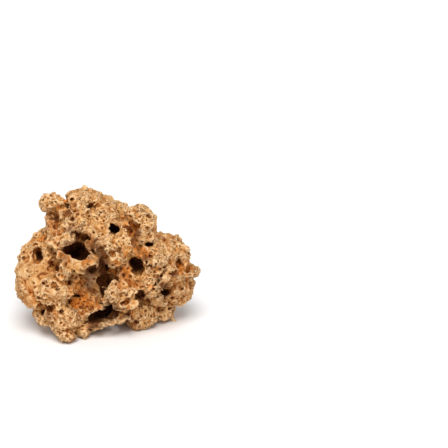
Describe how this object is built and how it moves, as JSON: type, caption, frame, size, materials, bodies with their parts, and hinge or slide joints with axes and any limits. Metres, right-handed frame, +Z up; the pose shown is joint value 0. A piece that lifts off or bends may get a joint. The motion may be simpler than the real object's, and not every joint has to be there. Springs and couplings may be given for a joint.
{
  "type": "aquascape rock",
  "caption": "Free-standing lump of porous, water-worn clay stone for an aquarium layout, with rounded lobes, deep hollows, a low cave, pitted knobs and small worn feet",
  "frame": {"origin": "middle of the bounding box in X and Y, on the ground under the feet", "axes": "+X to the viewer's right along the stone's length, +Y away from the viewer, +Z up"},
  "size_m": [0.16, 0.1134, 0.1233],
  "materials": {
    "stone": "dry, matt, porous clay stone, tan to ochre"
  },
  "bodies": {
    "root": {"stone": "stone"}
  },
  "joints": []
}
